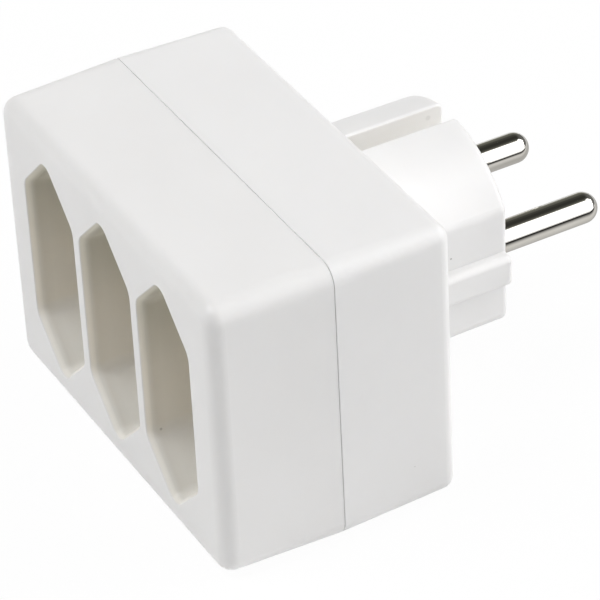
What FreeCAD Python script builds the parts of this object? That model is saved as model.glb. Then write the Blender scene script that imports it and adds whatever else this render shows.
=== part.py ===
import FreeCAD, Part
import math
import os

# Three-way flat-plug adapter with a round contour plug on its back.
# The model is laid out from the centre of the front face: X to the right as seen from the
# front, Y from the front face back along the plug pins, Z up.
# At the end every piece is moved so that the origin lies under the middle of the whole
# length, on the plane that the housing stands on.
# Lengths are in millimetres, angles in degrees.

# Housing: two shells that meet at the parting plane
housing_width = 65.7
housing_height = 47.1
front_depth = 19.04
rear_depth = 19.0
front_draft = 1.3
rear_draft = 1.9
long_edge_radius = 3.1
rear_corner_radius = 2.2
front_edge_radius = 2.4
rear_edge_radius = 1.9
front_wall = 2.0
side_wall = 2.0
rear_wall = 2.2
parting_gap = 0.08
parting_edge_break = 0.06

# Tongue of the front shell that sits in the rebate of the rear shell
tongue_thickness = 0.9
tongue_height = 1.6
tongue_clearance = 0.1

# Wells: flat hexagons for the flat two-pin plug
well_count = 3
well_pitch = 17.55
well_width = 14.4
well_height = 37.8
well_depth = 12.0
well_draft = 0.5
well_apex_radius = 1.6
well_side_radius = 2.4
well_bevel_width = 0.7
well_bevel_depth = 1.0
well_bevel_blend = 2.0
well_wall = 1.6
well_floor = 2.0

# Pin holes in the floor of each well
outlet_pin_spacing = 19.0
outlet_hole_radius = 2.5
outlet_hole_lead = 0.6
outlet_sleeve_wall = 1.5
outlet_sleeve_length = 2.6
outlet_pin_radius = 2.0

# Plug: round boss with flats, guide ribs and slots for the earthing clips of the wall socket
plug_drop = 0.5
boss_length = 19.16
boss_radius = 18.3
boss_draft = 0.3
boss_flat_depth = 2.65
boss_slant_depth = 1.15
boss_slant_angle = 50.5
boss_edge_radius = 1.0
boss_wall = 2.2
boss_end_wall = 2.6
boss_shoulder_radius = 2.5
boss_heel_radius = 1.5
guide_rib_width = 5.1
guide_rib_height = 2.0
guide_rib_edge = 1.0
earth_slot_width = 4.2
earth_slot_depth = 4.6
earth_slot_edge = 0.4

# Plug pins
plug_pin_spacing = 19.0
plug_pin_radius = 2.4
plug_pin_length = 19.0
plug_pin_step = 0.4
plug_pin_stand_off = 0.2
plug_pin_clearance = 0.05
plug_pin_mouth_radius = 2.8
plug_pin_mouth_depth = 0.5
plug_pin_sleeve_wall = 1.8
plug_pin_collar_radius = 3.5
plug_pin_collar_thickness = 1.2
plug_pin_collar_gap = 1.0
plug_pin_tail_radius = 1.5
plug_pin_tail_head_radius = 2.1
plug_pin_tail_head_height = 0.9

# Busbars
busbar_thickness = 1.0
busbar_height = 7.0
busbar_end = 2.4
busbar_arm_width = 7.0
busbar_stand_off = 1.0
busbar_corner_radius = 1.0
busbar_hole_clearance = 0.05
busbar_side_clearance = 0.4

# Contact clips, bent from strip
clip_thickness = 0.5
clip_width = 6.0
clip_base_half = 2.9
clip_grip = 0.3
clip_mouth_half = 2.9
clip_waist_from_mouth = 2.6
clip_mouth_gap = 0.5
clip_bend_radius = 0.9

# Rivets that hold the clips on the busbars
rivet_radius = 1.0
rivet_head_radius = 1.8
rivet_head_height = 0.7
rivet_clearance = 0.05

# Pegs that place the busbars, and the hollow posts that press them down
peg_radius = 0.9
peg_height = 2.4
peg_clearance = 0.1
peg_offset = 5.7
post_wall = 1.1
post_clearance = 0.15

# Ribs inside the shells
barrier_thickness = 1.6
barrier_clearance = 1.6
web_thickness = 1.2
web_offset = 3.8
pad_width = 2.0

# Screw that pulls the two shells together
screw_radius = 1.5
screw_length = 14.0
screw_point_length = 2.0
screw_head_radius = 2.8
screw_head_height = 2.0
screw_clearance = 0.05
screw_hole_radius = 1.7
screw_bore_radius = 3.2
screw_tube_wall = 1.3
screw_post_wall = 2.2
screw_joint_ahead = 0.6
screw_seat_thickness = 3.5
screw_hole_spare = 1.0
screw_cross_width = 0.7
screw_cross_length = 3.2
screw_cross_depth = 1.2

# Planes along Y that several pieces share
parting_y = front_depth
rear_y = front_depth + rear_depth
boss_end_y = rear_y + boss_length
pin_tip_y = boss_end_y + plug_pin_length
floor_back_y = well_depth + well_floor
sleeve_back_y = floor_back_y + outlet_sleeve_length
rear_inside_y = rear_y - rear_wall
busbar_back_y = rear_inside_y - busbar_stand_off
busbar_front_y = busbar_back_y - busbar_thickness
clip_base_y = busbar_front_y - clip_thickness
clip_mouth_y = sleeve_back_y + clip_mouth_gap
clip_waist_half = outlet_pin_radius - clip_grip
screw_joint_y = busbar_front_y - screw_joint_ahead
screw_seat_y = screw_joint_y + screw_seat_thickness
plug_z = -plug_drop
overall_length = pin_tip_y
plug_pin_shank_radius = plug_pin_radius - plug_pin_step
plug_pin_hole_radius = plug_pin_shank_radius + plug_pin_clearance
front_slope = math.tan(math.radians(front_draft))
rear_slope = math.tan(math.radians(rear_draft))
boss_slope = math.tan(math.radians(boss_draft))
well_slope = math.tan(math.radians(well_draft))
boss_flat = boss_radius - boss_flat_depth
boss_slant = boss_radius - boss_slant_depth
boss_root_radius = boss_radius + boss_length * boss_slope
slot_floor = boss_radius - earth_slot_depth
peg_x = (well_count - 1) / 2 * well_pitch + peg_offset
post_radius = peg_radius + peg_clearance + post_wall
shortest_edge = 1e-6

well_names = ["left", "middle", "right"]
pole_sides = {"upper": 1, "lower": -1}


def at(x, y, z):
    return FreeCAD.Vector(x, y, z)


def rounded_outline(corners, radii):
    # closed outline with an arc of its own radius at each corner; 0 leaves the corner sharp
    turns = []
    for index, corner in enumerate(corners):
        to_before = (corners[index - 1] - corner).normalize()
        to_after = (corners[(index + 1) % len(corners)] - corner).normalize()
        half_angle = to_before.getAngle(to_after) / 2
        reach = radii[index] / math.tan(half_angle)
        crown = radii[index] / math.sin(half_angle) - radii[index]
        inward = (to_before + to_after).normalize()
        turns.append((corner + to_before * reach, corner + inward * crown, corner + to_after * reach))
    edges = []
    for index, (start, middle, end) in enumerate(turns):
        if radii[index] > 0:
            edges.append(Part.Arc(start, middle, end).toShape())
        next_start = turns[(index + 1) % len(turns)][0]
        if (next_start - end).Length > shortest_edge:
            edges.append(Part.LineSegment(end, next_start).toShape())
    return Part.Wire(edges)


def rectangle_outline(half_width, half_height, radius, y):
    corners = [
        at(half_width, y, half_height),
        at(-half_width, y, half_height),
        at(-half_width, y, -half_height),
        at(half_width, y, -half_height),
    ]
    return rounded_outline(corners, [radius] * 4)


def housing_outline(y, inset, section_y=None):
    # the housing narrows away from the parting plane, and its corners get tighter towards the
    # rear; section_y takes the size of another plane
    behind = (y if section_y is None else section_y) - parting_y
    if behind > 0:
        narrowing = behind * rear_slope
        corner = long_edge_radius + (rear_corner_radius - long_edge_radius) * behind / rear_depth
    else:
        narrowing = -behind * front_slope
        corner = long_edge_radius
    half_width = housing_width / 2 - narrowing - inset
    half_height = housing_height / 2 - narrowing - inset
    return rectangle_outline(half_width, half_height, corner - inset, y)


def hexagon_outline(centre_x, y, grow):
    # flat hexagon with upright sides and slopes of 45 degrees
    half_width = well_width / 2 + grow
    apex = well_height / 2 + grow * math.sqrt(2)
    shoulder = apex - half_width
    corners = [
        at(centre_x + half_width, y, shoulder),
        at(centre_x, y, apex),
        at(centre_x - half_width, y, shoulder),
        at(centre_x - half_width, y, -shoulder),
        at(centre_x, y, -apex),
        at(centre_x + half_width, y, -shoulder),
    ]
    side = max(well_side_radius + grow, 0)
    tip = max(well_apex_radius + grow, 0)
    return rounded_outline(corners, [side, tip, side, side, tip, side])


def loft(*outlines):
    return Part.makeLoft(list(outlines), True, True)


def rod(radius, start_y, end_y, x, z):
    return Part.makeCylinder(radius, end_y - start_y, at(x, start_y, z), at(0, 1, 0))


def cone(start_radius, end_radius, start_y, end_y, x, z):
    return Part.makeCone(start_radius, end_radius, end_y - start_y, at(x, start_y, z), at(0, 1, 0))


def block(x_range, y_range, z_range):
    size = [high - low for low, high in (x_range, y_range, z_range)]
    return Part.makeBox(*size, at(x_range[0], y_range[0], z_range[0]))


def turned(profile, x, z):
    # solid of revolution about the line along Y through (x, z); profile holds (radius, y) pairs
    points = [at(x + radius, y, z) for radius, y in profile]
    face = Part.Face(Part.makePolygon(points + points[:1]))
    return face.revolve(at(x, 0, z), at(0, 1, 0), 360)


def edges_on_plane(shape, y):
    return [
        edge for edge in shape.Edges
        if all(abs(vertex.Y - y) < shortest_edge for vertex in edge.Vertexes)
    ]


def well_centre(index):
    return (index - (well_count - 1) / 2) * well_pitch


def outlet_axes():
    # centre lines of the outlet pin holes, one for each well and pole
    return [
        (well_centre(index), side * outlet_pin_spacing / 2)
        for index in range(well_count)
        for side in pole_sides.values()
    ]


def peg_axes():
    return [
        (end * peg_x, side * outlet_pin_spacing / 2)
        for end in (-1, 1)
        for side in pole_sides.values()
    ]


def well_block(centre_x):
    return loft(
        hexagon_outline(centre_x, front_wall / 2, well_wall),
        hexagon_outline(centre_x, floor_back_y, well_wall - floor_back_y * well_slope),
    )


def well_hollow(centre_x):
    bore = loft(
        hexagon_outline(centre_x, 0, 0),
        hexagon_outline(centre_x, well_depth, -well_depth * well_slope),
    )
    bevel = loft(
        hexagon_outline(centre_x, 0, well_bevel_width),
        hexagon_outline(centre_x, well_bevel_depth, -well_bevel_depth * well_slope),
    )
    hollow = bore.fuse(bevel).removeSplitter()
    return hollow.makeFillet(well_bevel_blend, edges_on_plane(hollow, well_bevel_depth))


def outlet_hole(x, z):
    lead_radius = outlet_hole_radius + outlet_hole_lead
    lead = cone(lead_radius, outlet_hole_radius, well_depth, well_depth + outlet_hole_lead, x, z)
    return lead.fuse(rod(outlet_hole_radius, well_depth, sleeve_back_y, x, z))


def tongue():
    # ring that stands on the inner half of the rim; its root lies inside the wall
    root_y = parting_y - side_wall
    end_y = parting_y + tongue_height
    outer = loft(
        housing_outline(root_y, side_wall - tongue_thickness, parting_y),
        housing_outline(end_y, side_wall - tongue_thickness, parting_y),
    )
    inner = loft(
        housing_outline(root_y, side_wall, parting_y),
        housing_outline(end_y, side_wall, parting_y),
    )
    return outer.cut(inner)


def front_shell():
    rim_y = parting_y - parting_gap / 2
    outer = loft(
        housing_outline(0, 0),
        housing_outline(rim_y - parting_edge_break, 0),
        housing_outline(rim_y, parting_edge_break),
    )
    outer = outer.makeFillet(front_edge_radius, edges_on_plane(outer, 0))
    shell = outer.cut(loft(housing_outline(front_wall, side_wall), housing_outline(rim_y, side_wall)))

    sleeve_radius = outlet_hole_radius + outlet_sleeve_wall
    screw_post_radius = screw_radius + screw_clearance + screw_post_wall
    barrier_half = (well_count - 1) / 2 * well_pitch + well_width / 2 + well_wall / 2
    added = [tongue()]
    added += [well_block(well_centre(index)) for index in range(well_count)]
    added += [rod(sleeve_radius, floor_back_y, sleeve_back_y, x, z) for x, z in outlet_axes()]
    added += [rod(post_radius, floor_back_y, busbar_front_y - post_clearance, x, z) for x, z in peg_axes()]
    added.append(rod(screw_post_radius, floor_back_y, screw_joint_y, 0, plug_z))
    added.append(block(
        (-barrier_half, barrier_half),
        (floor_back_y, busbar_front_y - barrier_clearance),
        (-barrier_thickness / 2, barrier_thickness / 2),
    ))
    shell = shell.fuse(added)

    peg_hole_radius = peg_radius + peg_clearance
    peg_hole_start = busbar_back_y - peg_height - peg_clearance
    screw_hole_end = screw_seat_y - screw_length - screw_hole_spare
    removed = [well_hollow(well_centre(index)) for index in range(well_count)]
    removed += [outlet_hole(x, z) for x, z in outlet_axes()]
    removed += [rod(peg_hole_radius, peg_hole_start, busbar_front_y, x, z) for x, z in peg_axes()]
    removed.append(rod(screw_radius + screw_clearance, screw_hole_end, screw_joint_y, 0, plug_z))
    return shell.cut(removed).removeSplitter()


def boss_outline(y, inset):
    # round outline with a flat on each side and a slanted flat under each of them; small arcs
    # lead from every flat into what comes next
    grow = (boss_end_y - y) * boss_slope - inset
    radius, flat, slant = boss_radius + grow, boss_flat + grow, boss_slant + grow
    shoulder, heel = boss_shoulder_radius, boss_heel_radius
    slant_angle = math.radians(boss_slant_angle)
    out_x, out_z = math.cos(slant_angle), -math.sin(slant_angle)

    shoulder_x = flat - shoulder
    shoulder_z = math.sqrt((radius - shoulder) ** 2 - shoulder_x ** 2)
    heel_x = flat - heel
    heel_z = (slant - heel - heel_x * out_x) / out_z
    along = math.sqrt((radius - shoulder) ** 2 - (slant - shoulder) ** 2)
    keel_x = (slant - shoulder) * out_x + along * out_z
    keel_z = (slant - shoulder) * out_z - along * out_x

    def arc(side_x, centre_x, centre_z, reach, start, end):
        points = []
        for angle in (start, (start + end) / 2, end):
            x = side_x * (centre_x + reach * math.cos(angle))
            points.append(at(x, y, plug_z + centre_z + reach * math.sin(angle)))
        return points

    def side(side_x):
        # arcs from the crown down to the keel
        return [
            arc(side_x, shoulder_x, shoulder_z, shoulder, math.atan2(shoulder_z, shoulder_x), 0),
            arc(side_x, heel_x, heel_z, heel, 0, -slant_angle),
            arc(side_x, keel_x, keel_z, shoulder, -slant_angle, math.atan2(keel_z, keel_x)),
        ]

    right, left = side(1), side(-1)
    crown, keel = at(0, y, plug_z + radius), at(0, y, plug_z - radius)
    edges = [Part.Arc(left[0][0], crown, right[0][0])]
    for upper, lower in zip(right, right[1:]):
        edges += [Part.Arc(*upper), Part.LineSegment(upper[2], lower[0])]
    edges += [Part.Arc(*right[2]), Part.Arc(right[2][2], keel, left[2][2]), Part.Arc(*reversed(left[2]))]
    for upper, lower in zip(reversed(left[:2]), reversed(left[1:])):
        edges += [Part.LineSegment(lower[0], upper[2]), Part.Arc(*reversed(upper))]
    return Part.Wire([edge.toShape() for edge in edges])


def guide_rib(side_x):
    # the rib runs along the middle of a flat; its outer edges and its end are rounded
    reach = boss_flat + guide_rib_height
    outline = rounded_outline(
        [
            at(side_x * reach, rear_inside_y, plug_z + guide_rib_width / 2),
            at(side_x * (boss_flat - boss_wall / 2), rear_inside_y, plug_z + guide_rib_width / 2),
            at(side_x * (boss_flat - boss_wall / 2), rear_inside_y, plug_z - guide_rib_width / 2),
            at(side_x * reach, rear_inside_y, plug_z - guide_rib_width / 2),
        ],
        [guide_rib_edge, 0, 0, guide_rib_edge],
    )
    end_y = boss_end_y - boss_edge_radius / 4
    rib = Part.Face(outline).extrude(at(0, end_y - rear_inside_y, 0))
    ends = [edge for edge in edges_on_plane(rib, end_y) if abs(edge.CenterOfMass.x) > boss_flat]
    return rib.makeFillet(guide_rib_edge * 0.9, ends)


def earth_slot(side_z, spare, end_y):
    # slot for an earthing clip of the wall socket; spare thickens it for the wall around it
    half_width = earth_slot_width / 2 + spare
    floor = slot_floor - spare
    beyond = boss_root_radius + 1
    start_y = rear_y if spare == 0 else rear_inside_y
    return block(
        (-half_width, half_width),
        (start_y, end_y),
        sorted((plug_z + side_z * floor, plug_z + side_z * beyond)),
    )


def slot_brinks(boss):
    # edges along Y and round the end where a slot wall meets the outside of the boss
    wall_x = earth_slot_width / 2
    return [
        edge for edge in boss.Edges
        if all(abs(abs(vertex.X) - wall_x) < shortest_edge for vertex in edge.Vertexes)
        and abs(abs(edge.CenterOfMass.x) - wall_x) < shortest_edge
        and min(abs(vertex.Z - plug_z) for vertex in edge.Vertexes) > slot_floor + earth_slot_depth / 2
        and min(vertex.Y for vertex in edge.Vertexes) > rear_y - shortest_edge
    ]


def plug_boss():
    boss = loft(boss_outline(rear_inside_y, 0), boss_outline(boss_end_y, 0))
    boss = boss.makeFillet(boss_edge_radius, edges_on_plane(boss, boss_end_y))
    boss = boss.cut([earth_slot(side, 0, boss_end_y + 1) for side in (-1, 1)])
    boss = boss.makeFillet(earth_slot_edge, slot_brinks(boss))
    return boss.fuse([guide_rib(-1), guide_rib(1)])


def boss_hollow(start_y, inset):
    hollow = loft(boss_outline(start_y, inset), boss_outline(boss_end_y - boss_end_wall, inset))
    return hollow.cut([earth_slot(side, inset, boss_end_y) for side in (-1, 1)])


def rear_shell():
    rim_y = parting_y + parting_gap / 2
    housing = loft(
        housing_outline(rim_y, parting_edge_break),
        housing_outline(rim_y + parting_edge_break, 0),
        housing_outline(rear_y, 0),
    )
    housing = housing.makeFillet(rear_edge_radius, edges_on_plane(housing, rear_y))
    inside = loft(housing_outline(rim_y, side_wall), housing_outline(rear_inside_y, side_wall))
    rebate_inset = side_wall - tongue_thickness - tongue_clearance
    rebate = loft(
        housing_outline(rim_y, rebate_inset, parting_y),
        housing_outline(parting_y + tongue_height, rebate_inset, parting_y),
    )
    shell = housing.fuse(plug_boss()).cut([inside, rebate, boss_hollow(rear_inside_y, boss_wall)])

    end_wall_y = boss_end_y - boss_end_wall
    sleeve_radius = plug_pin_hole_radius + plug_pin_sleeve_wall
    sleeve_start = busbar_back_y + plug_pin_collar_gap + plug_pin_collar_thickness
    tube_radius = screw_bore_radius + screw_tube_wall
    pin_x = plug_pin_spacing / 2
    web_room = boss_hollow(busbar_back_y, boss_wall - web_thickness / 2)
    added = [rod(sleeve_radius, sleeve_start, end_wall_y, side * pin_x, plug_z) for side in (-1, 1)]
    added.append(rod(tube_radius, screw_joint_y, end_wall_y, 0, plug_z))
    for side in (-1, 1):
        middle = side * web_offset
        web = block(
            (middle - web_thickness / 2, middle + web_thickness / 2),
            (busbar_back_y, end_wall_y),
            (plug_z - boss_root_radius, plug_z + boss_root_radius),
        )
        added.append(web.common(web_room))
    for x, z in peg_axes():
        added.append(rod(post_radius, busbar_back_y, rear_inside_y, x, z))
        added.append(rod(peg_radius, busbar_back_y - peg_height, rear_inside_y, x, z))
    for end in (-1, 1):
        for side in pole_sides.values():
            middle = end * (well_pitch - rivet_head_radius - pad_width)
            height = side * outlet_pin_spacing / 2
            added.append(block(
                (middle - pad_width / 2, middle + pad_width / 2),
                (busbar_back_y, rear_inside_y + rear_wall / 2),
                (height - busbar_height / 2, height + busbar_height / 2),
            ))
    shell = shell.fuse(added)

    removed = []
    mouth_start = boss_end_y - plug_pin_mouth_depth
    for side in (-1, 1):
        removed.append(rod(plug_pin_hole_radius, sleeve_start, boss_end_y, side * pin_x, plug_z))
        # shallow mouth that leaves room around the foot of the thicker shaft
        removed.append(rod(plug_pin_mouth_radius, mouth_start, boss_end_y, side * pin_x, plug_z))
    removed.append(rod(screw_hole_radius, screw_joint_y, screw_seat_y, 0, plug_z))
    removed.append(rod(screw_bore_radius, screw_seat_y, boss_end_y, 0, plug_z))
    return shell.cut(removed).removeSplitter()


def plug_pin(side_x):
    # solid pin with a round tip, a thinner shank in its sleeve, a collar behind the sleeve and a
    # tail riveted to the busbar
    x = side_x * plug_pin_spacing / 2
    tip_centre = pin_tip_y - plug_pin_radius
    collar_start = busbar_back_y + plug_pin_collar_gap
    collar_end = collar_start + plug_pin_collar_thickness
    shank = rod(plug_pin_shank_radius, busbar_back_y, tip_centre, x, plug_z)
    shaft = rod(plug_pin_radius, boss_end_y + plug_pin_stand_off, tip_centre, x, plug_z)
    tip = Part.makeSphere(plug_pin_radius, at(x, tip_centre, plug_z), at(0, 1, 0), 0, 90, 360)
    collar = rod(plug_pin_collar_radius, collar_start, collar_end, x, plug_z)
    tail = rod(plug_pin_tail_radius, busbar_front_y, busbar_back_y, x, plug_z)
    head = cone(
        plug_pin_tail_radius,
        plug_pin_tail_head_radius,
        busbar_front_y - plug_pin_tail_head_height,
        busbar_front_y,
        x,
        plug_z,
    )
    return shaft.fuse([shank, tip, collar, tail, head]).removeSplitter()


def busbar(side):
    # flat strip with an arm that reaches the tail of one plug pin; its ends run past the pegs,
    # clear of the side walls
    middle = side * outlet_pin_spacing / 2
    far_edge = middle + side * busbar_height / 2
    near_edge = middle - side * busbar_height / 2
    inside_half_width = housing_width / 2 - (busbar_back_y - parting_y) * rear_slope - side_wall
    half_length = min(peg_x + busbar_end, inside_half_width - busbar_side_clearance)
    arm_x = -side * plug_pin_spacing / 2
    arm_half = busbar_arm_width / 2
    arm_end = plug_z - side * arm_half
    y = busbar_front_y
    corners = [
        at(-half_length, y, far_edge),
        at(half_length, y, far_edge),
        at(half_length, y, near_edge),
        at(arm_x + arm_half, y, near_edge),
        at(arm_x + arm_half, y, arm_end),
        at(arm_x - arm_half, y, arm_end),
        at(arm_x - arm_half, y, near_edge),
        at(-half_length, y, near_edge),
    ]
    soft = busbar_corner_radius
    strip = Part.Face(rounded_outline(corners, [soft, soft, soft, soft, arm_half, arm_half, soft, soft]))
    bar = strip.extrude(at(0, busbar_thickness, 0))
    holes = [
        rod(rivet_radius + rivet_clearance, y, busbar_back_y, well_centre(index), middle)
        for index in range(well_count)
    ]
    holes += [rod(peg_radius + peg_clearance, y, busbar_back_y, end * peg_x, middle) for end in (-1, 1)]
    holes.append(rod(plug_pin_tail_radius + busbar_hole_clearance, y, busbar_back_y, arm_x, plug_z))
    return bar.cut(holes)


def contact_clip(x, z):
    # strip bent to a waisted U that grips the pin from above and below
    inner = [
        (clip_mouth_half, clip_mouth_y),
        (clip_waist_half, clip_mouth_y + clip_waist_from_mouth),
        (clip_base_half, clip_base_y),
        (-clip_base_half, clip_base_y),
        (-clip_waist_half, clip_mouth_y + clip_waist_from_mouth),
        (-clip_mouth_half, clip_mouth_y),
    ]
    outer = offset_path(inner, clip_thickness)
    start_x = x - clip_width / 2
    corners = [at(start_x, y, z + height) for height, y in inner + outer[::-1]]
    tight, wide = clip_bend_radius, clip_bend_radius + clip_thickness
    inner_radii = [0, wide, tight, tight, wide, 0]
    outer_radii = [0, tight, wide, wide, tight, 0]
    clip = Part.Face(rounded_outline(corners, inner_radii + outer_radii)).extrude(at(clip_width, 0, 0))
    return clip.cut(rod(rivet_radius + rivet_clearance, clip_base_y, busbar_front_y, x, z))


def offset_path(path, distance):
    # open path moved sideways by distance, with mitred corners
    normals = []
    for (start_u, start_v), (end_u, end_v) in zip(path, path[1:]):
        length = math.hypot(end_u - start_u, end_v - start_v)
        normals.append(((end_v - start_v) / length, -(end_u - start_u) / length))
    moved = []
    for index, (u, v) in enumerate(path):
        first = normals[max(index - 1, 0)]
        second = normals[min(index, len(normals) - 1)]
        scale = distance / (1 + first[0] * second[0] + first[1] * second[1])
        moved.append((u + (first[0] + second[0]) * scale, v + (first[1] + second[1]) * scale))
    return moved


def clip_rivet(x, z):
    profile = [
        (0, clip_base_y - rivet_head_height),
        (rivet_head_radius * 0.7, clip_base_y - rivet_head_height * 0.8),
        (rivet_head_radius, clip_base_y),
        (rivet_radius, clip_base_y),
        (rivet_radius, busbar_back_y),
        (rivet_head_radius, busbar_back_y),
        (rivet_head_radius * 0.7, busbar_back_y + rivet_head_height * 0.8),
        (0, busbar_back_y + rivet_head_height),
    ]
    return turned(profile, x, z)


def housing_screw():
    tip_y = screw_seat_y - screw_length
    head_end = screw_seat_y + screw_head_height
    profile = [
        (0, tip_y),
        (screw_radius, tip_y + screw_point_length),
        (screw_radius, screw_seat_y),
        (screw_head_radius, screw_seat_y),
        (screw_head_radius, head_end - screw_head_height / 2),
        (screw_head_radius * 0.75, head_end),
        (0, head_end),
    ]
    screw = turned(profile, 0, plug_z)
    half_long, half_wide = screw_cross_length / 2, screw_cross_width / 2
    for half_x, half_z in ((half_long, half_wide), (half_wide, half_long)):
        screw = screw.cut(block(
            (-half_x, half_x),
            (head_end - screw_cross_depth, head_end),
            (plug_z - half_z, plug_z + half_z),
        ))
    return screw


def save(name, shape):
    shape.translate(at(0, -overall_length / 2, housing_height / 2))
    solids = len(shape.Solids)
    print(name, "solids", solids, "valid", shape.isValid(), "volume", round(shape.Volume, 1))
    shape.exportStep("parts/" + name + ".step")


os.makedirs("parts", exist_ok=True)
save("front_shell", front_shell())
save("rear_shell", rear_shell())
save("plug_pin_left", plug_pin(-1))
save("plug_pin_right", plug_pin(1))
save("housing_screw", housing_screw())
for pole, side in pole_sides.items():
    save("busbar_" + pole, busbar(side))
    for index, place in enumerate(well_names):
        clip_x, clip_z = well_centre(index), side * outlet_pin_spacing / 2
        save("contact_clip_" + pole + "_" + place, contact_clip(clip_x, clip_z))
        save("clip_rivet_" + pole + "_" + place, clip_rivet(clip_x, clip_z))
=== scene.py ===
import bpy
import bmesh
import math
from mathutils import Matrix, Quaternion, Vector

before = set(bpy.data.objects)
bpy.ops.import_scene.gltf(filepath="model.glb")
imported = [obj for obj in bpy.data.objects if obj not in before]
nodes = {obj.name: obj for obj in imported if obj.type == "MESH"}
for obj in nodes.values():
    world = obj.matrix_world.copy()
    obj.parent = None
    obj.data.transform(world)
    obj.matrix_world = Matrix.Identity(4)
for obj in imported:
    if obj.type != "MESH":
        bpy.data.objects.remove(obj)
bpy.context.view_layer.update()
print("frame loaded:", len(nodes), "solids")


def metres(mm):
    return mm / 1000.0


def placeMm(x, y, z):
    return Vector((metres(x), metres(y), metres(z)))


# stands a camera or a lamp away from a point and turns it towards the point
def standAway(name, data, point, towards, distance):
    obj = bpy.data.objects.new(name, data)
    bpy.context.scene.collection.objects.link(obj)
    obj.location = point + towards * distance
    obj.rotation_mode = "QUATERNION"
    obj.rotation_quaternion = (-towards).to_track_quat("-Z", "Y")
    return obj


# camera: the photograph's own viewing angle
camera = {
    "azimuth": 62.286,
    "elevation": 36.0804,
    "roll": -2.9931,
    "distance": metres(524.08),
    "target": placeMm(20.302, -17.815, 33.972),
    "lens": 226.027,
    "sensor": 36.0,
    "nearest": 0.01,
    "furthest": 20.0,
}


def directionTo(azimuth, elevation):
    a, e = math.radians(azimuth), math.radians(elevation)
    return Vector((math.sin(a) * math.cos(e), -math.cos(a) * math.cos(e), math.sin(e)))


def placeCamera(values):
    lens = bpy.data.cameras.new("photoCamera")
    lens.lens = values["lens"]
    lens.sensor_width = values["sensor"]
    lens.clip_start = values["nearest"]
    lens.clip_end = values["furthest"]
    towards = directionTo(values["azimuth"], values["elevation"])
    obj = standAway("photoCamera", lens, values["target"], towards, values["distance"])
    turn = Quaternion((0, 0, 1), math.radians(values["roll"]))
    obj.rotation_quaternion = obj.rotation_quaternion @ turn
    bpy.context.scene.camera = obj


placeCamera(camera)
bpy.context.scene.view_settings.view_transform = "Standard"
print("camera placed")


# node helpers
def link(tree, source, target):
    tree.links.new(source, target)


# a socket is linked, a plain value is set on the input itself
def feed(tree, value, target):
    if isinstance(value, bpy.types.NodeSocket):
        link(tree, value, target)
    else:
        target.default_value = value


def addNode(tree, kind, inputs=None, **settings):
    node = tree.nodes.new(kind)
    for key, value in settings.items():
        setattr(node, key, value)
    for key, value in (inputs or {}).items():
        feed(tree, value, node.inputs[key])
    return node


def addMath(tree, operation, *values):
    return addNode(tree, "ShaderNodeMath", dict(enumerate(values)), operation=operation).outputs[0]


def addVectorMath(tree, operation, output, *values):
    node = addNode(tree, "ShaderNodeVectorMath", dict(enumerate(values)), operation=operation)
    return node.outputs[output]


def addRange(tree, source, limits, **settings):
    return addNode(tree, "ShaderNodeMapRange", {"Value": source, **limits}, **settings).outputs["Result"]


def addNoise(tree, place, scale, settings):
    inputs = {"Vector": place, "Scale": scale, **settings}
    return addNode(tree, "ShaderNodeTexNoise", inputs).outputs["Fac"]


def addSplit(tree, place):
    return addNode(tree, "ShaderNodeSeparateXYZ", {0: place}).outputs


def addShader(tree, kind, inputs=None):
    return addNode(tree, kind, inputs).outputs[0]


def mixShaders(tree, share, first, second):
    return addShader(tree, "ShaderNodeMixShader", {0: share, 1: first, 2: second})


# the colour sockets of this node are numbered, since their names repeat
def mixColours(tree, share, first, second, blend="MIX"):
    inputs = {0: share, 6: first, 7: second}
    return addNode(tree, "ShaderNodeMix", inputs, data_type="RGBA", blend_type=blend).outputs[2]


def addRamp(tree, source, stops):
    ramp = addNode(tree, "ShaderNodeValToRGB", {"Fac": source})
    elements = ramp.color_ramp.elements
    while len(elements) < len(stops):
        elements.new(1.0)  # moved to its own place below
    for element, (position, colour) in zip(elements, stops):
        element.position = position
        element.color = list(colour) + [1.0]
    return ramp.outputs["Color"]


# a group takes the place on the surface as Vector, then its own vectors and numbers
def newGroup(name, vectors, numbers, results):
    group = bpy.data.node_groups.new(name, "ShaderNodeTree")
    sockets = [(socketName, "INPUT", "NodeSocketVector") for socketName in ["Vector"] + vectors]
    sockets += [(socketName, "INPUT", "NodeSocketFloat") for socketName in numbers]
    sockets += [(socketName, "OUTPUT", "NodeSocketFloat") for socketName in results]
    for socketName, way, kind in sockets:
        group.interface.new_socket(name=socketName, in_out=way, socket_type=kind)
    return group, group.nodes.new("NodeGroupInput").outputs, group.nodes.new("NodeGroupOutput").inputs


# puts a group into a material and sets each of its inputs to the value of the same name
def addGroup(tree, group, place, values):
    node = addNode(tree, "ShaderNodeGroup", node_tree=group)
    for socket in node.inputs:
        feed(tree, place if socket.name == "Vector" else values[socket.name], socket)
    return node.outputs


# moulded plastic skin: cloudy colour, uneven gloss, fine grain, stray dark specks
skinNoise = {
    "cloud": {"Detail": 3.0, "Roughness": 0.55},
    "gloss": {"Detail": 5.0, "Roughness": 0.6},
    "grain": {"Detail": 2.0, "Roughness": 0.5},
    "spread": {"From Min": 0.3, "From Max": 0.7},  # where nearly all of the noise lies
    "glossFiner": 6.0,  # the gloss varies this much faster than the colour
    "grainShare": 0.6,  # what the grain adds to the slower bumps of the gloss
}


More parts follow.
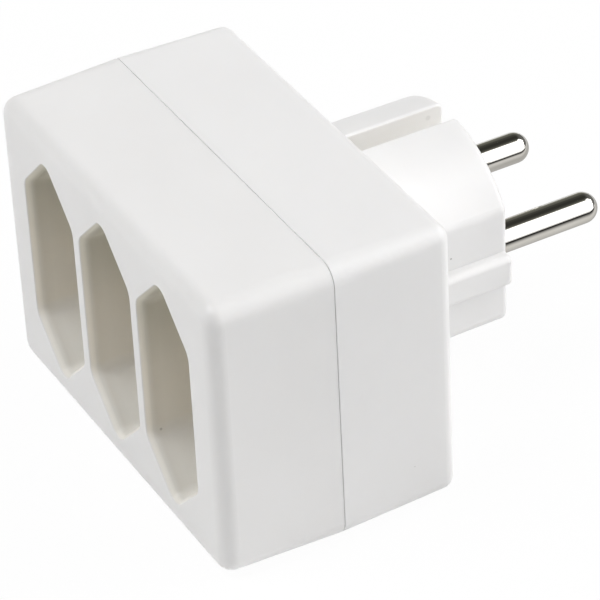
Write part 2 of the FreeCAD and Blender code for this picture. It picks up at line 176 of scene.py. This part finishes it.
def makeSkinGroup(values):
    numbers = ["Cloud Scale", "Grain Scale", "Speck Scale", "Speck Size", "Rough Low", "Rough High"]
    group, given, out = newGroup("mouldedSkin", [], numbers, ["Cloud", "Roughness", "Height", "Speck"])
    place = given["Vector"]
    cloud = addNoise(group, place, given["Cloud Scale"], values["cloud"])
    link(group, addRange(group, cloud, values["spread"]), out["Cloud"])

    glossScale = addMath(group, "MULTIPLY", given["Cloud Scale"], values["glossFiner"])
    gloss = addNoise(group, place, glossScale, values["gloss"])
    limits = {**values["spread"], "To Min": given["Rough Low"], "To Max": given["Rough High"]}
    link(group, addRange(group, gloss, limits), out["Roughness"])

    grain = addNoise(group, place, given["Grain Scale"], values["grain"])
    link(group, addMath(group, "MULTIPLY_ADD", grain, values["grainShare"], gloss), out["Height"])

    inputs = {"Vector": place, "Scale": given["Speck Scale"]}
    cells = addNode(group, "ShaderNodeTexVoronoi", inputs, feature="F1", distance="EUCLIDEAN")
    link(group, addMath(group, "LESS_THAN", cells.outputs["Distance"], given["Speck Size"]), out["Speck"])
    return group


# worked metal: uneven gloss, fine draw lines along one axis
metalNoise = {
    "lines": {"Detail": 3.0, "Roughness": 0.6},
    "stain": {"Detail": 4.0, "Roughness": 0.6},
    "spread": {"From Min": 0.32, "From Max": 0.68},
}


def makeMetalGroup(values):
    numbers = ["Line Scale", "Stain Scale", "Rough Low", "Rough High"]
    group, given, out = newGroup("workedMetal", ["Stretch"], numbers, ["Stain", "Roughness", "Height"])
    pulled = addVectorMath(group, "MULTIPLY", "Vector", given["Vector"], given["Stretch"])
    link(group, addNoise(group, pulled, given["Line Scale"], values["lines"]), out["Height"])
    stain = addNoise(group, given["Vector"], given["Stain Scale"], values["stain"])
    spread = addRange(group, stain, values["spread"])
    link(group, spread, out["Stain"])
    limits = {"To Min": given["Rough Low"], "To Max": given["Rough High"]}
    link(group, addRange(group, spread, limits), out["Roughness"])
    return group


# inside of a row of recesses: where it is, how far up the wall, how far in from the face
def makeRecessGroup():
    numbers = ["Half Width", "Low Edge", "High Edge", "Face", "Depth"]
    group, given, out = newGroup("recessPlace", [], numbers, ["Window", "Climb", "Sink"])
    place = addSplit(group, given["Vector"])
    across = addMath(group, "LESS_THAN", addMath(group, "ABSOLUTE", place["X"]), given["Half Width"])
    above = addMath(group, "GREATER_THAN", place["Z"], given["Low Edge"])
    below = addMath(group, "LESS_THAN", place["Z"], given["High Edge"])
    upright = addMath(group, "MULTIPLY", above, below)
    link(group, addMath(group, "MULTIPLY", across, upright), out["Window"])
    limits = {"From Min": given["Low Edge"], "From Max": given["High Edge"]}
    link(group, addRange(group, place["Z"], limits), out["Climb"])
    limits = {"From Min": given["Face"], "From Max": addMath(group, "ADD", given["Face"], given["Depth"])}
    link(group, addRange(group, place["Y"], limits), out["Sink"])
    return group


# one small round mark: 1 at its centre, 0 past its rim
def makeMarkGroup():
    group, given, out = newGroup("roundMark", ["Centre"], ["Core", "Rim"], ["Mark"])
    away = addVectorMath(group, "DISTANCE", "Value", given["Vector"], given["Centre"])
    limits = {"From Min": given["Core"], "From Max": given["Rim"], "To Min": 1.0, "To Max": 0.0}
    link(group, addRange(group, away, limits, interpolation_type="SMOOTHSTEP"), out["Mark"])
    return group


skinGroup = makeSkinGroup(skinNoise)
metalGroup = makeMetalGroup(metalNoise)
recessGroup = makeRecessGroup()
markGroup = makeMarkGroup()


def newMaterial(name):
    material = bpy.data.materials.new(name)
    material.use_nodes = True
    material.node_tree.nodes.clear()
    output = material.node_tree.nodes.new("ShaderNodeOutputMaterial")
    return material, material.node_tree, output.inputs["Surface"]


def objectPlace(tree):
    return tree.nodes.new("ShaderNodeTexCoord").outputs["Object"]


def addBump(tree, height, values):
    inputs = {"Height": height, "Strength": values["bumpStrength"], "Distance": values["bumpDistance"]}
    return addNode(tree, "ShaderNodeBump", inputs).outputs["Normal"]


# paints light and shade into a recess: painted wall shade by depth and height, then a painted bevel
# highlight and painted crease shade
def paintRecessShading(tree, place, colour, values):
    recess = addGroup(tree, recessGroup, place, values)
    share = addMath(tree, "MULTIPLY", addRamp(tree, recess["Sink"], values["paintedShadingShare"]), recess["Window"])
    paintedWallShading = addRamp(tree, recess["Climb"], values["paintedWallShading"])
    wallShadingPainted = mixColours(tree, share, colour, paintedWallShading, "MULTIPLY")
    paintedBevelAndCreaseShading = addRamp(tree, recess["Sink"], values["paintedBevelAndCreaseShading"])
    return mixColours(tree, recess["Window"], wallShadingPainted, paintedBevelAndCreaseShading, "MULTIPLY")


def addMark(tree, place, colour, values):
    mark = addGroup(tree, markGroup, place, values)
    share = addMath(tree, "MULTIPLY", mark["Mark"], values["share"])
    return mixColours(tree, share, colour, values["colour"])


def makePlastic(name, values):
    material, tree, surface = newMaterial(name)
    place = objectPlace(tree)
    skin = addGroup(tree, skinGroup, place, values)
    colour = mixColours(tree, skin["Cloud"], values["pale"], values["deep"])
    colour = mixColours(tree, skin["Speck"], colour, values["speck"])
    # painted shade and painted light inside the recesses
    for recess in values["recesses"]:
        colour = paintRecessShading(tree, place, colour, recess)
    for mark in values["marks"]:
        colour = addMark(tree, place, colour, mark)
    inputs = {
        "Base Color": colour,
        "Roughness": skin["Roughness"],
        "Normal": addBump(tree, skin["Height"], values),
        "IOR": values["ior"],
        "Subsurface Weight": values["through"],
        "Subsurface Radius": values["throughColour"],
        "Subsurface Scale": values["throughDepth"],
    }
    link(tree, addShader(tree, "ShaderNodeBsdfPrincipled", inputs), surface)
    return material


def makeMetal(name, values):
    material, tree, surface = newMaterial(name)
    worked = addGroup(tree, metalGroup, objectPlace(tree), values)
    inputs = {
        "Base Color": mixColours(tree, worked["Stain"], values["clean"], values["dull"]),
        "Roughness": worked["Roughness"],
        "Normal": addBump(tree, worked["Height"], values),
        "Metallic": 1.0,
    }
    link(tree, addShader(tree, "ShaderNodeBsdfPrincipled", inputs), surface)
    return material


def dress(names, material):
    for name in names:
        mesh = nodes[name].data
        mesh.materials.clear()
        mesh.materials.append(material)


# the two shells
white = (1.0, 1.0, 1.0)
plainTint = [(0.0, white), (1.0, white)]

# the three wells: painted shade that warms and darkens the plastic up the wall, a painted highlight on the
# bevel and painted shade in the crease behind it
wells = {
    "Half Width": metres(25.6),
    "Low Edge": metres(3.6),
    "High Edge": metres(43.6),
    "Face": metres(-38.1),
    "Depth": metres(4.0),
    "paintedShadingShare": [(0.0, (0.0, 0.0, 0.0)), (0.05, (0.85, 0.85, 0.85)), (0.4, white)],
    "paintedWallShading": [
        (0.0, (0.95, 0.94, 0.90)),
        (0.1, (1.0, 0.995, 0.96)),
        (0.19, (1.0, 0.985, 0.945)),
        (0.25, (0.99, 0.945, 0.845)),
        (0.5, (0.975, 0.93, 0.825)),
        (0.9, (0.77, 0.745, 0.635)),
    ],
    "paintedBevelAndCreaseShading": [
        (0.02, white),
        (0.05, (1.04, 1.035, 1.015)),
        (0.1, (1.05, 1.04, 1.02)),
        (0.18, (1.0, 0.99, 0.97)),
        (0.24, (0.91, 0.905, 0.89)),
        (0.36, (0.92, 0.915, 0.905)),
        (0.5, (0.96, 0.955, 0.95)),
        (0.75, white),
    ],
}

# the slot for the upper earthing clip: painted bounce light, its walls made lighter where light bounces
# from wall to wall
paintedSlotBounce = (1.09, 1.083, 1.062)
upperSlot = {
    "Half Width": metres(2.2),
    "Low Edge": metres(36.5),
    "High Edge": metres(42.5),
    "Face": metres(0.0),
    "Depth": metres(19.0),
    "paintedShadingShare": plainTint,
    "paintedWallShading": [(0.0, paintedSlotBounce), (1.0, paintedSlotBounce)],
    "paintedBevelAndCreaseShading": plainTint,
}

# small marks in the plastic
wellSpeck = {
    "Centre": placeMm(10.43, -36.06, 12.34),
    "Core": metres(0.1),
    "Rim": metres(0.3),
    "share": 0.4,
    "colour": (0.2, 0.17, 0.12, 1.0),
}
bossSpeck = {
    "Centre": placeMm(15.7, 9.43, 27.65),
    "Core": metres(0.05),
    "Rim": metres(0.22),
    "share": 0.7,
    "colour": (0.2, 0.19, 0.17, 1.0),
}
slotMark = {
    "Centre": placeMm(-2.1, 16.59, 39.47),
    "Core": metres(0.25),
    "Rim": metres(0.55),
    "share": 0.25,
    "colour": (0.5, 0.49, 0.47, 1.0),
}

# through stands for light that enters the plastic and comes out again nearby
shellPlastic = {
    "speck": (0.25, 0.24, 0.22, 1.0),
    "Cloud Scale": 45.0,
    "Grain Scale": 4200.0,
    "Speck Scale": 70.0,
    "Speck Size": 0.008,
    "Rough Low": 0.34,
    "Rough High": 0.42,
    "bumpStrength": 0.25,
    "bumpDistance": metres(0.004),
    "ior": 1.49,
    "through": 0.25,
    "throughColour": (1.0, 0.96, 0.9),
    "throughDepth": metres(1.3),
}
frontPlastic = {
    **shellPlastic,
    "pale": (0.818, 0.812, 0.807, 1.0),
    "deep": (0.798, 0.791, 0.785, 1.0),
    "recesses": [wells],
    "marks": [wellSpeck],
}
rearPlastic = {
    **shellPlastic,
    "pale": (0.826, 0.821, 0.818, 1.0),
    "deep": (0.806, 0.80, 0.797, 1.0),
    "recesses": [upperSlot],
    "marks": [bossSpeck, slotMark],
}
dress(["front_shell"], makePlastic("front cover plastic", frontPlastic))
dress(["rear_shell"], makePlastic("rear cover plastic", rearPlastic))
print("shells dressed")

# metal parts: Stretch draws the lines out along the axis that has the small number
platedPin = {
    "clean": (0.80, 0.78, 0.745, 1.0),
    "dull": (0.74, 0.72, 0.68, 1.0),
    "Stretch": (1.0, 0.03, 1.0),
    "Line Scale": 2600.0,
    "Stain Scale": 240.0,
    "Rough Low": 0.05,
    "Rough High": 0.09,
    "bumpStrength": 0.12,
    "bumpDistance": metres(0.002),
}
stripBrass = {
    "clean": (0.80, 0.60, 0.30, 1.0),
    "dull": (0.66, 0.47, 0.22, 1.0),
    "Stretch": (0.04, 1.0, 1.0),
    "Line Scale": 2400.0,
    "Stain Scale": 300.0,
    "Rough Low": 0.22,
    "Rough High": 0.36,
    "bumpStrength": 0.3,
    "bumpDistance": metres(0.004),
}
rivetBrass = {
    **stripBrass,
    "clean": (0.76, 0.56, 0.27, 1.0),
    "Stretch": (1.0, 1.0, 1.0),
    "Stain Scale": 600.0,
}
zincSteel = {
    "clean": (0.70, 0.71, 0.73, 1.0),
    "dull": (0.58, 0.58, 0.56, 1.0),
    "Stretch": (1.0, 1.0, 1.0),
    "Line Scale": 3000.0,
    "Stain Scale": 400.0,
    "Rough Low": 0.25,
    "Rough High": 0.42,
    "bumpStrength": 0.3,
    "bumpDistance": metres(0.004),
}
strips = [name for name in nodes if name.startswith(("busbar_", "contact_clip_"))]
rivets = [name for name in nodes if name.startswith("clip_rivet_")]
dress(["plug_pin_left", "plug_pin_right"], makeMetal("nickel plated pin", platedPin))
dress(strips, makeMetal("rolled brass strip", stripBrass))
dress(rivets, makeMetal("rivet brass", rivetBrass))
dress(["housing_screw"], makeMetal("zinc plated screw", zincSteel))
print("metal parts dressed")

# studio: white table, plain sky, soft lamps, dark cards seen only in reflections
studio = {
    "floorColour": (0.9, 0.9, 0.9, 1.0),
    "floorSize": 4.0,
    "floorGlow": 0.96,  # the rest of what the eye sees is the lit floor with its shadow
    "skyLevel": 0.0,
    "glowColour": (1.0, 1.0, 1.0, 1.0),
    "glowLevel": 1.0,
}


# makes an object with one material out of a shape
def newPiece(name, shape, material):
    mesh = bpy.data.meshes.new(name)
    shape.to_mesh(mesh)
    shape.free()
    mesh.materials.append(material)
    piece = bpy.data.objects.new(name, mesh)
    bpy.context.scene.collection.objects.link(piece)
    return piece


# 1 where the camera or a reflection looks at the surface, 0 where it only gives light
def lookedAt(tree):
    ray = tree.nodes.new("ShaderNodeLightPath").outputs
    return addMath(tree, "MAXIMUM", ray["Is Camera Ray"], ray["Is Glossy Ray"])


def makeFloor(values):
    material, tree, surface = newMaterial("white table")
    matt = addShader(tree, "ShaderNodeBsdfDiffuse", {"Color": values["floorColour"]})
    inputs = {"Color": values["glowColour"], "Strength": values["glowLevel"]}
    glow = addShader(tree, "ShaderNodeEmission", inputs)
    share = addMath(tree, "MULTIPLY", lookedAt(tree), values["floorGlow"])
    table = mixShaders(tree, share, matt, glow)
    # seen from below the table is clear, so that the underside can be looked at
    side = tree.nodes.new("ShaderNodeNewGeometry").outputs["Backfacing"]
    clear = addShader(tree, "ShaderNodeBsdfTransparent")
    link(tree, mixShaders(tree, side, table, clear), surface)
    shape = bmesh.new()
    bmesh.ops.create_grid(shape, x_segments=2, y_segments=2, size=values["floorSize"] / 2)
    floor = newPiece("studioFloor", shape, material)


def makeSky(values):
    world = bpy.data.worlds.new("plainSky")
    world.use_nodes = True
    tree = world.node_tree
    tree.nodes.clear()
    surface = tree.nodes.new("ShaderNodeOutputWorld").inputs["Surface"]
    plain, bright = [
        addShader(tree, "ShaderNodeBackground", {"Color": values["glowColour"], "Strength": level})
        for level in (values["skyLevel"], values["glowLevel"])
    ]
    link(tree, mixShaders(tree, lookedAt(tree), plain, bright), surface)
    bpy.context.scene.world = world


# soft lamps, each square and in its own direction from the middle of the object
objectCentre = placeMm(0.0, 0.0, 24.0)
softLamps = {
    "sideSoftbox": {"towards": (0.74, 0.38, 0.55), "distance": 1.0, "size": 1.4, "power": 6.1},
    "rearSoftbox": {"towards": (0.2, 0.85, 0.5), "distance": 1.1, "size": 0.9, "power": 8.2},
    "overheadSoftbox": {"towards": (-0.1, -0.45, 0.9), "distance": 1.1, "size": 0.5, "power": 6.35},
    "frontSoftbox": {"towards": (-0.6, -0.75, 0.45), "distance": 1.2, "size": 0.8, "power": 3.9},
    "leftSoftbox": {"towards": (-0.75, -0.1, 0.7), "distance": 1.1, "size": 0.8, "power": 0.8},
}


def makeLamp(name, values):
    lamp = bpy.data.lights.new(name, "AREA")
    lamp.shape = "SQUARE"
    lamp.size = values["size"]
    lamp.energy = values["power"]
    standAway(name, lamp, objectCentre, Vector(values["towards"]).normalized(), values["distance"])


# levels of a card along its sweep: where each stands, then how bright it looks in the metal
archCard = {
    "radius": 0.9,
    "near": -1.4,
    "far": 0.6,
    "from": 180.0,
    "to": 78.0,
    "steps": 40,
    "levels": [
        (0.0, 0.36),
        (0.2, 0.16),
        (0.45, 0.07),
        (0.65, 0.035),
        (0.82, 0.045),
        (0.93, 0.12),
        (1.0, 0.32),
    ],
    "tint": (1.0, 1.0, 0.86),
}
backCard = {
    "y": 0.6,
    "left": -0.9,
    "top": 0.9,
    "discRadius": 0.26,
    "discHeight": 0.023,
    "discLift": 0.001,
    "discSides": 48,
    "level": 0.16,
    "tint": (1.0, 1.0, 0.97),
}
tableCard = {
    "left": metres(-90.0),
    "right": metres(150.0),
    "near": metres(-10.0),
    "far": metres(260.0),
    "lift": metres(0.5),
    "levels": [
        (0.0, 0.50),
        (0.4, 0.52),
        (0.44, 0.66),
        (0.49, 0.78),
        (0.525, 0.70),
        (0.56, 0.50),
        (0.605, 0.26),
        (0.65, 0.10),
        (0.70, 0.03),
        (1.0, 0.03),
    ],
    "tint": (1.0, 0.99, 0.96),
}


def placeCard(name, shape, makeLight, values):
    material, tree, surface = newMaterial(name)
    inputs = {"Color": makeLight(tree, values), "Strength": 1.0}
    link(tree, addShader(tree, "ShaderNodeEmission", inputs), surface)
    card = newPiece(name, shape, material)
    card.visible_camera = False
    card.visible_diffuse = False
    card.visible_shadow = False
    card.visible_transmission = False
    card.visible_volume_scatter = False


def tinted(level, values):
    return [level * part for part in values["tint"]]


def addLevels(tree, sweep, values):
    return addRamp(tree, sweep, [(position, tinted(level, values)) for position, level in values["levels"]])


def archLight(tree, values):
    place = addSplit(tree, objectPlace(tree))
    angle = addMath(tree, "ARCTAN2", place["Z"], place["X"])
    limits = {"From Min": math.radians(values["from"]), "From Max": math.radians(values["to"])}
    return addLevels(tree, addRange(tree, angle, limits), values)


# meets the arch at the arch's own levels and turns plain towards the middle
def backLight(tree, values):
    flat = addVectorMath(tree, "MULTIPLY", "Vector", objectPlace(tree), (1.0, 0.0, 1.0))
    reach = addVectorMath(tree, "LENGTH", "Value", flat)
    limits = {"From Min": values["discRadius"], "From Max": archCard["radius"]}
    fade = addRange(tree, reach, limits, interpolation_type="SMOOTHSTEP")
    plain = tinted(values["level"], values) + [1.0]
    return mixColours(tree, fade, plain, archLight(tree, archCard))


def tableLight(tree, values):
    place = addSplit(tree, objectPlace(tree))
    limits = {"From Min": values["left"], "From Max": values["right"]}
    return addLevels(tree, addRange(tree, place["X"], limits), values)


# a flat rectangle between its four edges, made from a square of side 1
def addSheet(shape, left, right, near, far, height):
    corners = bmesh.ops.create_grid(shape, x_segments=1, y_segments=1, size=0.5)["verts"]
    bmesh.ops.scale(shape, vec=(right - left, far - near, 1.0), verts=corners)
    middle = ((right + left) / 2, (far + near) / 2, height)
    bmesh.ops.translate(shape, vec=middle, verts=corners)


def makeArchCard(values):
    shape = bmesh.new()
    start = math.radians(values["from"])
    x, z = math.cos(start) * values["radius"], math.sin(start) * values["radius"]
    ends = [shape.verts.new((x, y, z)) for y in (values["near"], values["far"])]
    rib = ends + [shape.edges.new(ends)]
    turn = math.radians(values["from"] - values["to"])
    bmesh.ops.spin(shape, geom=rib, cent=(0, 0, 0), axis=(0, 1, 0), angle=turn, steps=values["steps"])
    placeCard("archCard", shape, archLight, values)


def makeBackCard(values):
    shape = bmesh.new()
    addSheet(shape, values["left"], 0.0, 0.0, values["top"], 0.0)
    sides, radius = values["discSides"], values["discRadius"]
    disc = bmesh.ops.create_circle(shape, cap_ends=True, segments=sides, radius=radius)["verts"]
    bmesh.ops.translate(shape, vec=(0.0, values["discHeight"], values["discLift"]), verts=disc)
    upright = Matrix.Translation((0.0, values["y"], 0.0)) @ Matrix.Rotation(math.radians(90), 4, "X")
    bmesh.ops.transform(shape, matrix=upright, verts=shape.verts)
    placeCard("backCard", shape, backLight, values)


def makeTableCard(values):
    shape = bmesh.new()
    addSheet(shape, *[values[edge] for edge in ("left", "right", "near", "far", "lift")])
    placeCard("tableCard", shape, tableLight, values)


makeFloor(studio)
makeSky(studio)
for lampName, lampValues in softLamps.items():
    makeLamp(lampName, lampValues)
makeArchCard(archCard)
makeBackCard(backCard)
makeTableCard(tableCard)
print("studio ready")
